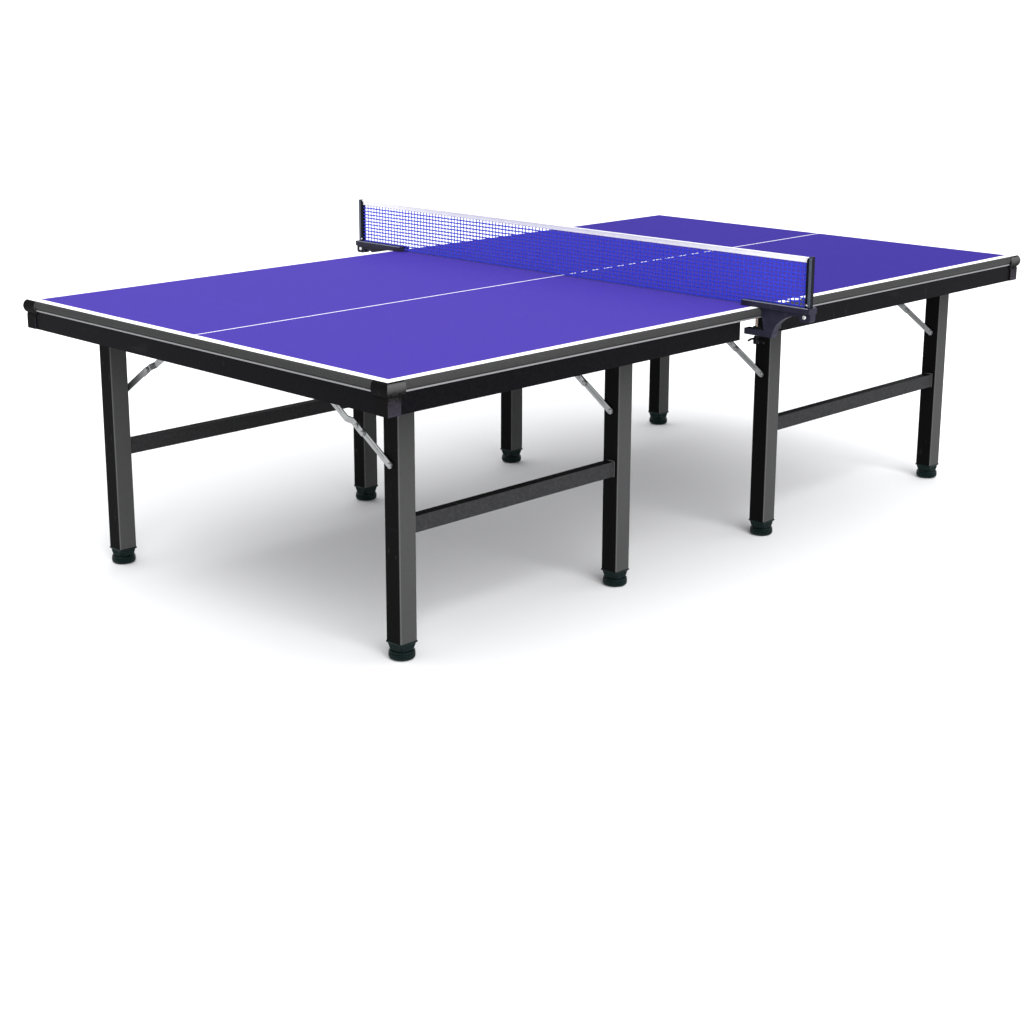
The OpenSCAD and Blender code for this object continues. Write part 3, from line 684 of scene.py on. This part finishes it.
def capShells(x, y, tube, low):
    # Flange: a rounded square with bevelled edges. Boss: a square narrowing to a circle, each of whose
    # sides has upright ribs, a raised cosine of the distance along the side.
    flange, flangeTo, bevel = (capShape[key] for key in ("flangeFrom", "flangeTo", "bevel"))
    across = tube + capShape["flangeOut"]
    square = roundedSquare(1.0, 0.12)
    rows = [(across - bevel, flange), (across, flange + bevel), (across, flangeTo - bevel),
            (across - bevel, flangeTo)]
    plate = np.array([[(x + half * px, y + half * py, z) for px, py in square] for half, z in rows])
    angle = around(288)
    side = np.mod(angle + math.pi / 4, math.pi / 2) - math.pi / 4
    rows = []
    for share in np.linspace(0, 1, 8):
        wide = tube - capShape["bossInset"] + 0.0010 * share
        limit = capShape["bossRound"] + capShape["bossFlare"] * share
        square = wide / np.cos(side)
        reach = np.minimum(square, limit)
        wave = 0.5 - 0.5 * np.cos(2 * math.pi * capShape["bossRibs"] * (np.tan(side) + 1) / 2)
        band = math.sin(math.pi * share) ** 0.25 if 0 < share < 1 else 0
        reach = reach - capShape["bossRibDepth"] * wave * band
        rows.append(spread(x + reach * np.cos(angle), y + reach * np.sin(angle),
                           low + (flange - low) * share))
    return [shell(plate), shell(np.array(rows))]


halves, sides, places = ("half_a", "half_b"), ("near", "far"), ("outer", "inner")
frames = [(f"{half}_{side}", half, side) for half in halves for side in sides]


def legPlaces(half, side):
    # Centres of a frame's two legs, from its feet
    boxes = [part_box(f"{half}_{side}_{place}_foot") for place in places]
    return [((low.x + high.x) / 2, (low.y + high.y) / 2) for low, high in boxes]


tubeHalf = (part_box("half_a_near_legs")[1].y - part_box("half_a_near_legs")[0].y) / 2
for frameName, half, side in frames:
    for place in places:
        foot, stem = f"{frameName}_{place}_foot", f"{frameName}_{place}_stem"
        addPiece(foot + "_ribbed", [footShell(*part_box(foot))], finishes["foot"],
                 f"{frameName}_{place}_pad", [foot], sharp=35)
        low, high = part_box(stem)
        middle, radius = (low + high) / 2, (high.x - low.x) / 2
        thread = threaded(radius, stemThread["depth"], stemThread["pitch"], low.z, high.z,
                          (middle.x, middle.y, 0))
        addPiece(stem + "_threaded", [thread], finishes["stem"], f"{frameName}_{place}_thread",
                 [stem], sharp=60)
    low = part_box(frameName + "_leg_caps")[0]
    shells = []
    for x, y in legPlaces(half, side):
        shells += capShells(x, y, tubeHalf, low.z)
    addPiece(frameName + "_caps_ribbed", shells, finishes["leg_cap"], frameName + "_frame",
             [frameName + "_leg_caps"], sharp=35)
print("feet, caps and stems built")

# Welds between crossbar and legs

weld = {"radius": 0.0024, "ripple": 0.0005, "ripples": 60, "around": 240}


def weldShell(x, low, high):
    # A tube round the crossbar's outline at x, whose radius ripples as radius + ripple * cos(n a).
    turn = np.linspace(0, 1, weld["around"], endpoint=False)
    corner = roundedSquare(1.0, 0.12, 12)
    lengths = np.linalg.norm(np.diff(np.vstack([corner, corner[:1]]), axis=0), axis=1)
    along = np.concatenate([[0], np.cumsum(lengths)]) / lengths.sum()
    path = np.stack([np.interp(turn, along, np.append(corner[:, k], corner[0, k])) for k in (0, 1)], axis=-1)
    middle, size = (low + high) / 2, (high - low) / 2
    y, z = middle.y + path[:, :1] * size.y, middle.z + path[:, 1:] * size.z
    outward = path / np.linalg.norm(path, axis=1)[:, None]
    thick = weld["radius"] + weld["ripple"] * np.cos(2 * math.pi * weld["ripples"] * turn[:, None])
    angle = around(8)[None, :]
    rise = thick * np.sin(angle)
    grid = spread(x + thick * np.cos(angle), y + rise * outward[:, :1], z + rise * outward[:, 1:])
    return shell(np.concatenate([grid, grid[:1]], axis=0), closed=False)


for frameName in [name for name, half, side in frames]:
    low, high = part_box(frameName + "_crossbar")
    addPiece(frameName + "_welds", [weldShell(x, low, high) for x in (low.x, high.x)],
             finishes["leg_tube"], frameName + "_frame", sharp=80)
print("welds built")

# Rivets and ribs of the braces, screws of the hinges

brace = {
    "lowerFace": 0.003,  # from the leg's face to the lower strip
    "strip": 0.003,
    "gap": 0.0004,
    "head": 0.002,
    "width": 0.018,
    "step": 0.0116,
    "tail": 0.025,
    "rivet": 0.0054,
    "dome": 0.0016,
    "ribWidth": 0.0032,
    "ribHeight": 0.0010,
}


def ribShell(start, finish, outward, across):
    # Half a long ellipse pressed up from a strip: its height and width go to nothing at both ends.
    start, finish, outward, across = (np.array(v, float) for v in (start, finish, outward, across))
    share = np.linspace(0, 1, 25)[:, None]
    swell = (1 - np.abs(2 * share - 1) ** 6) ** 0.5
    angle = around(12)[None, :]
    line = start + (finish - start) * share
    wide, tall = brace["ribWidth"] * swell * np.cos(angle), brace["ribHeight"] * swell * np.sin(angle)
    return shell(line[:, None, :] + wide[..., None] * across + tall[..., None] * outward)


for frameName, half, side in frames:
    legPin = np.array(joints[frameName + "_lower_brace"]["pos_m"])
    topPin = np.array(joints[frameName + "_upper_brace"]["pos_m"])
    along = (topPin - legPin) / np.linalg.norm(topPin - legPin)
    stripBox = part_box(frameName + "_lower_braces")
    lowerLength = (stripBox[1].z - stripBox[0].z - brace["width"]) / along[2]
    fullLength = np.linalg.norm(topPin - legPin)
    # the strips lie on the legs' faces that look to this side
    faceSide = -1 if stripBox[0].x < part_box(frameName + "_legs")[0].x - 0.001 else 1
    outward = np.array((faceSide, 0, 0), float)
    across = np.cross(along, outward)
    lower, upper, mount = [], [], []
    for x, y in legPlaces(half, side):
        face = np.array((x + faceSide * tubeHalf, 0, 0))

        def at(distance, out):
            return face + legPin + along * distance + outward * out

        lowerOut = brace["lowerFace"] + brace["strip"]
        upperOut = lowerOut + brace["gap"] + brace["strip"]
        mountOut = lowerOut + brace["gap"] + brace["step"] + brace["strip"]
        lower.append(domedHead(brace["rivet"], brace["dome"], at(0, lowerOut + brace["head"]), outward))
        lower.append(ribShell(at(0.018, lowerOut), at(lowerLength - 0.034, lowerOut), outward, across))
        for s in (lowerLength, lowerLength - brace["tail"]):
            upper.append(domedHead(brace["rivet"], brace["dome"], at(s, upperOut + brace["head"]), outward))
        upper.append(ribShell(at(lowerLength + 0.045, mountOut), at(fullLength - 0.022, mountOut),
                              outward, across))
        mount.append(domedHead(brace["rivet"], brace["dome"],
                               at(fullLength, mountOut + brace["gap"] + brace["head"]), outward))
    addPiece(frameName + "_lower_rivets", lower, finishes["brace"], frameName + "_lower")
    addPiece(frameName + "_upper_rivets", upper, finishes["brace"], frameName + "_upper")
    addPiece(frameName + "_mount_rivets", mount, finishes["brace"], half)

hinge = {
    "screwRadius": 0.0042,
    "screwHeight": 0.0022,
    "plate": 0.003,
    "cheek": 0.0315,  # from the leg's middle to the outside of a cheek
    "ear": 0.016,
    "screwsInward": (-0.022, 0.006),
}

for half in halves:
    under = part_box(half + "_top")[0].z
    screws = []
    for side in sides:
        inwards = 1 if (side == "near") else -1
        for x, y in legPlaces(half, side):
            for along in (-1, 1):
                for across in hinge["screwsInward"]:
                    spot = (x + along * (hinge["cheek"] + hinge["ear"] / 2), y + inwards * across,
                            under - hinge["plate"])
                    screws.append(domedHead(hinge["screwRadius"], hinge["screwHeight"], spot, (0, 0, -1)))
    addPiece(half + "_hinge_screws", screws, finishes["bolt"], half)
print("rivets, ribs and screws built")

# Net: knotted cords, tape and stitches

netting = {
    "column": 0.0145,  # between upright cords
    "row": 0.0108,
    "cordWide": 0.0025,  # half of the cord's width, in the plane of the net
    "cordThick": 0.0006,
    "weave": 0.00018,  # how far the cords pass over and under each other
    "knot": 0.0030,
    "knotHalf": 0.00078,  # half of the knot's thickness
    "uneven": (0.00022, 0.00015),  # scatter of upright and level cords
}


def cordGrid(line, wideAxis, swell):
    # An ellipse carried along a line: half width times swell along wideAxis, half thickness along X.
    angle = around(6)
    wide = netting["cordWide"] * np.cos(angle)[None, :, None] * swell[:, None, None] * wideAxis
    thick = netting["cordThick"] * np.sin(angle)[None, :, None] * np.array((1.0, 0, 0))
    return line[:, None, :] + wide + thick


def netShells():
    low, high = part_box("net")
    columns = int(round((high.y - low.y) / netting["column"]))
    rows = int(round((high.z - low.z) / netting["row"]))
    random = np.random.default_rng(3)
    ys = np.linspace(low.y + 0.0012, high.y - 0.0012, columns + 1)
    ys[1:-1] += random.normal(0, netting["uneven"][0], columns - 1)
    zs = np.linspace(low.z + 0.0011, high.z + 0.0010, rows + 1)
    zs[1:-1] += random.normal(0, netting["uneven"][1], rows - 1)
    shells = []
    for i, y in enumerate(ys):
        z = np.linspace(zs[0], zs[-1], rows * 2 + 1)
        over = netting["weave"] * np.cos(np.pi * (np.arange(len(z)) / 2 + i))
        bend = 0.00025 * np.sin(z * 90 + i * 1.7)
        line = spread(over, y + bend, z)
        swell = 0.88 + 0.12 * np.cos(np.pi * np.arange(len(z)))
        shells.append(shell(cordGrid(line, np.array((0, 1.0, 0)), swell)))
    for k, z in enumerate(zs):
        y = np.linspace(ys[0], ys[-1], columns * 2 + 1)
        over = -netting["weave"] * np.cos(np.pi * (np.arange(len(y)) / 2 + k))
        bend = 0.00020 * np.sin(y * 60 + k * 2.3)
        line = spread(over, y, z + bend)
        swell = (1.25 if k == 0 else 1.0) * (0.88 + 0.12 * np.cos(np.pi * np.arange(len(y))))
        shells.append(shell(cordGrid(line, np.array((0, 0, 1.0)), swell)))
    return shells, ys, zs


def knotShells(ys, zs):
    # A knot at each crossing: an eight-sided double cone, flattened across the net.
    size, thick = netting["knot"], netting["knotHalf"]
    profile = turnedGrid([(size * 0.55, -thick), (size, -0.0003), (size, 0.0003), (size * 0.55, thick)], 8)
    flat = placed(profile.reshape(-1, 3), (0, 0, 0), (1, 0, 0)).reshape(profile.shape)
    points, faces = shell(flat)
    shells = []
    for y in ys[1:-1]:
        for z in zs[1:-1]:
            shells.append((points + np.array((0, y, z)), faces))
    return shells


netCords, cordYs, cordZs = netShells()
net = addPiece("net_cords", netCords, finishes["netting"], "half_a", ["net"], sharp=80)
knots = addPiece("net_knots", knotShells(cordYs, cordZs), finishes["netting"], "half_a", sharp=80)
tapeLow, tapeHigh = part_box("net_tape")
print("net cords:", len(cordYs), "upright and", len(cordZs), "level")

tape = {"cloth": 0.0007, "bulge": 0.0021, "stitch": 0.0028, "stitchGap": 0.0046, "endTaper": 0.03}


def tapeShell():
    # Section: up one side, round the head cord and down the other, then back inside at the cloth's
    # thickness. Near each end the round part narrows into the slot of the post.
    low, high = tapeLow, tapeHigh
    side, tall = (high.x - low.x) / 2, high.z - low.z
    angle = np.linspace(math.pi, 0, 11)
    rounded = tape["bulge"] * np.stack([np.cos(angle), np.sin(angle)], axis=-1) + (0, tall - tape["bulge"])
    left = np.array([(-side, 0), (-side, 0.004), (-side, 0.008), (-side * 1.15, tall - 0.0045)])
    outer = np.vstack([left, rounded, left[::-1] * (-1, 1)])
    inner = outer[::-1].copy()
    inner[:, 0] *= 1 - tape["cloth"] / np.maximum(np.abs(inner[:, 0]), tape["cloth"])
    inner[:, 1] -= np.where(inner[:, 1] > tall - tape["bulge"], tape["cloth"], 0)
    section = np.vstack([outer, inner])
    y = np.concatenate([np.linspace(low.y, low.y + tape["endTaper"], 9),
                        np.linspace(low.y + tape["endTaper"], high.y - tape["endTaper"], 240)[1:-1],
                        np.linspace(high.y - tape["endTaper"], high.y, 9)])
    toEnd = np.clip(np.minimum(y - low.y, high.y - y) / tape["endTaper"], 0, 1)
    ease = toEnd * toEnd * (3 - 2 * toEnd)
    narrow = side / tape["bulge"] + (1 - side / tape["bulge"]) * ease
    wide = np.abs(section[:, 0]) > side
    x = section[None, :, 0] * np.where(wide[None, :], narrow[:, None], 1)
    ripple = 0.00018 * np.sin(y * 47) + 0.00012 * np.sin(y * 121 + 1)
    x = x + ripple[:, None] * ease[:, None]
    return shell(spread(x, y[:, None], low.z + section[None, :, 1]))


def stitchShells():
    # Each stitch is a short bar pressed out of the tape: an ellipse that swells and closes at its ends.
    side = (tapeHigh.x - tapeLow.x) / 2
    share = np.linspace(0, 1, 5)[:, None]
    swell = np.sqrt(np.clip(1 - (2 * share - 1) ** 2, 0.02, 1))
    angle = around(6)[None, :]
    points, faces = shell(spread(0.00032 * swell * np.cos(angle), tape["stitch"] * (share - 0.5),
                                 0.00042 * swell * np.sin(angle)))
    count = int((tapeHigh.y - tapeLow.y - 2 * tape["endTaper"]) / tape["stitchGap"])
    ys = np.linspace(tapeLow.y + tape["endTaper"], tapeHigh.y - tape["endTaper"], count)
    rippled = 0.00018 * np.sin(ys * 47) + 0.00012 * np.sin(ys * 121 + 1)
    return [(points + np.array((s * side + r, y, tapeLow.z + 0.0018)), faces)
            for s in (-1, 1) for y, r in zip(ys, rippled)]


tapePiece = addPiece("net_tape_folded", [tapeShell()], finishes["net_tape"], "half_a",
                     ["net_tape"], sharp=60)
stitches = addPiece("net_tape_stitches", stitchShells(), finishes["net_tape"], "half_a", sharp=80)
print("tape and stitches built")

# Net posts, clamps, screws and wing knobs

clamp = {
    "postDepth": 0.018,
    "stripFrom": 0.0085,  # the pale strip's edges, from the post's inner face; the pale strip is a painted highlight
    "stripTo": 0.0172,
    "stripProud": 0.0009,
    "armInside": 0.060,  # length of the arm on the playing surface
    "edgeRadius": 0.0013,
    "bodyHalf": 0.012,  # half of the casting's thickness
    "boltRadius": 0.0062,
    "boltHeight": 0.0038,
    "boltFrom": 0.004,  # from the post's inner face
    "boltBelow": 0.0090,  # under the playing surface
    "pinRadius": 0.0032,
    "pinHeight": 0.0016,
    "pinFrom": 0.0055,
    "pinAbove": 0.0065,  # over the arm
    "nutRadius": 0.0106,
    "nutHeight": 0.0064,
    "jawBelow": 0.063,  # the jaw's upper face under the playing surface
}

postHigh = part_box("net_posts")[1]
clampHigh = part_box("net_clamps")[1]
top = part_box("half_a_top")[1].z
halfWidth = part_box("half_a_top")[1].y
postInner = postHigh.y - clamp["postDepth"]
armEnd = halfWidth - clamp["armInside"]


def barShell(low, high, bevel):
    # A box with bevelled edges between two corners: rows are rounded rectangles along Z.
    low, high = np.array(low, float), np.array(high, float)
    square = roundedSquare(1.0, 0.0001, 2)
    middle, size = (low + high) / 2, (high - low) / 2
    rows = []
    for z, shrink in ((low[2], bevel), (low[2] + bevel, 0), (high[2] - bevel, 0), (high[2], bevel)):
        rows.append([(middle[0] + px * (size[0] - shrink), middle[1] + py * (size[1] - shrink), z)
                     for px, py in square])
    return shell(np.array(rows))


strips, edges, bolts, nuts = [], [], [], []
for s in (-1, 1):
    for face in (-1, 1):
        # pale strips proud of the post's faces: painted highlight
        x = sorted((face * (postHigh.x - 0.0005), face * (postHigh.x + clamp["stripProud"])))
        y = sorted((s * (postInner + clamp["stripFrom"]), s * (postInner + clamp["stripTo"])))
        strips.append(barShell((x[0], y[0], clampHigh.z + 0.0015), (x[1], y[1], postHigh.z - 0.0015), 0.0005))
        # a light bead along each arm's upper edge: painted highlight
        edgeLine = np.linspace(s * (armEnd + 0.002), s * (postHigh.y + 0.003), 30)[:, None]
        angle = around(10)[None, :]
        radius = clamp["edgeRadius"] * np.ones((30, 1))
        radius[[0, -1]] *= 0.4
        edges.append(shell(spread(face * (clampHigh.x - 0.0006) + radius * np.cos(angle), edgeLine,
                                  clampHigh.z - 0.0006 + radius * np.sin(angle))))
        bolt = (face * clamp["bodyHalf"], s * (postInner + clamp["boltFrom"]), top - clamp["boltBelow"])
        bolts.append(domedHead(clamp["boltRadius"], clamp["boltHeight"], bolt, (face, 0, 0)))
        pin = (face * postHigh.x, s * (postInner + clamp["pinFrom"]), clampHigh.z + clamp["pinAbove"])
        bolts.append(domedHead(clamp["pinRadius"], clamp["pinHeight"], pin, (face, 0, 0)))
    screwLow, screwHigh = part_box(("near" if s < 0 else "far") + "_clamp_screw")
    screwY = (screwLow.y + screwHigh.y) / 2
    nuts.append(hexHead(clamp["nutRadius"], clamp["nutHeight"], (0, screwY, top - clamp["jawBelow"]),
                        (0, 0, 1)))
addPiece("net_post_highlight_strips", strips, finishes["paintedHighlightStrip"], "half_a", sharp=30)
addPiece("net_clamp_highlight_edges", edges, finishes["clampEdgeHighlight"], "half_a", sharp=60)
addPiece("net_clamp_bolts", bolts, finishes["bolt"], "half_a")
addPiece("net_clamp_nuts", nuts, finishes["knob"], "half_a", sharp=30)

screw = {
    "radius": 0.004,
    "threadDepth": 0.0006,
    "pitch": 0.00125,
    "padThick": 0.006,
}

for side in sides:
    node = side + "_clamp_screw"
    low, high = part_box(node)
    middle, padRadius = (low + high) / 2, (high.x - low.x) / 2
    padFoot = high.z - screw["padThick"]
    pad = [(padRadius - 0.001, padFoot), (padRadius, padFoot + 0.001),
           (padRadius, high.z - 0.0022), (padRadius - 0.0006, high.z - 0.0016)]
    cup = [(screw["radius"], padFoot - 0.004), (0.007, padFoot - 0.003), (0.0085, padFoot + 0.0002),
           (0.0085, padFoot + 0.001)]
    spot = (middle.x, middle.y, 0)
    thread = threaded(screw["radius"], screw["threadDepth"], screw["pitch"], low.z, padFoot, spot)
    addPiece(node + "_threaded", [thread, turned(pad, spot), turned(cup, spot)],
             finishes["clamp_screw"], side + "_screw", [node], sharp=50)
    felt = [(padRadius - 0.0010, high.z - 0.0017), (padRadius - 0.0008, high.z - 0.0004),
            (padRadius - 0.0016, high.z)]
    addPiece(node + "_felt", [turned(felt, spot)], finishes["felt"], side + "_screw")


knob = {
    "hubRadius": 0.0080,
    "wingSpan": 0.029,
    "wingBelow": 0.0075,  # the wings' middle under the hub's upper end
    "wingDroop": 0.0108,
    "wingTall": 0.0044,  # half of the height at the hub
    "wingThick": 0.0028,  # and half of the thickness there
}


def knobShells(low, high):
    # Hub: a stepped cone. Each wing is an ellipse carried outwards along a parabola that droops, thin
    # at the hub, swelling to a lobe and closing at the tip.
    middle = (low + high) / 2
    tall = high.z - low.z
    spot = (middle.x, middle.y, low.z)
    wide = knob["hubRadius"]
    hub = [(wide - 0.0020, 0.0), (wide - 0.0002, 0.0010), (wide, 0.0030), (wide, 0.0105),
           (wide - 0.0014, 0.0125), (wide - 0.0018, tall - 0.001), (wide - 0.0026, tall)]
    shells = [turned(hub, spot)]
    for s in (-1, 1):
        share = np.linspace(0, 1, 22)[:, None]
        reach = knob["wingSpan"] * share
        lift = tall - knob["wingBelow"] - knob["wingDroop"] * share ** 2
        close = np.sqrt(np.clip(1 - np.clip((share - 0.80) / 0.2, 0, 1) ** 2, 0.0004, 1))
        waist = 0.0010 * np.sin(math.pi * np.clip(share / 0.7, 0, 1))
        tallness = (knob["wingTall"] - 0.0010 * share - waist) * close
        thickness = (knob["wingThick"] + 0.0008 * share) * close
        angle = around(16)[None, :]
        grid = spread(thickness * np.cos(angle), s * reach, lift + tallness * np.sin(angle))
        shells.append(shell(grid + np.array(spot)))
    return shells


for side in sides:
    node = side + "_wing_knob"
    addPiece(node + "_moulded", knobShells(*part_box(node)), finishes["knob"], side + "_knob", [node],
             sharp=50)
print("posts, clamps and knobs built")

# Floor


def addFloor():
    angle = around(96)
    ring = studio["floorRadius"] * spread(np.cos(angle), np.sin(angle), 0)
    mesh = bpy.data.meshes.new("floor")
    mesh.from_pydata(ring.tolist(), [], [list(range(96))])
    floor = bpy.data.objects.new("floor", mesh)
    bpy.context.scene.collection.objects.link(floor)
    floor.location.z = -0.0005
    material, tree, shader = newFinish("paleFloor", Specular_IOR_Level=0.1)
    noise = put(tree, "ShaderNodeTexNoise", {"Scale": 3.0, "Detail": 2})
    color = studio["floorColor"]
    tree.links.new(mixColor(tree, noise.outputs[0], color, tuple(c * 0.99 for c in color)),
                   shader.inputs["Base Color"])
    shader.inputs["Roughness"].default_value = 0.7
    mesh.materials.append(material)


addFloor()
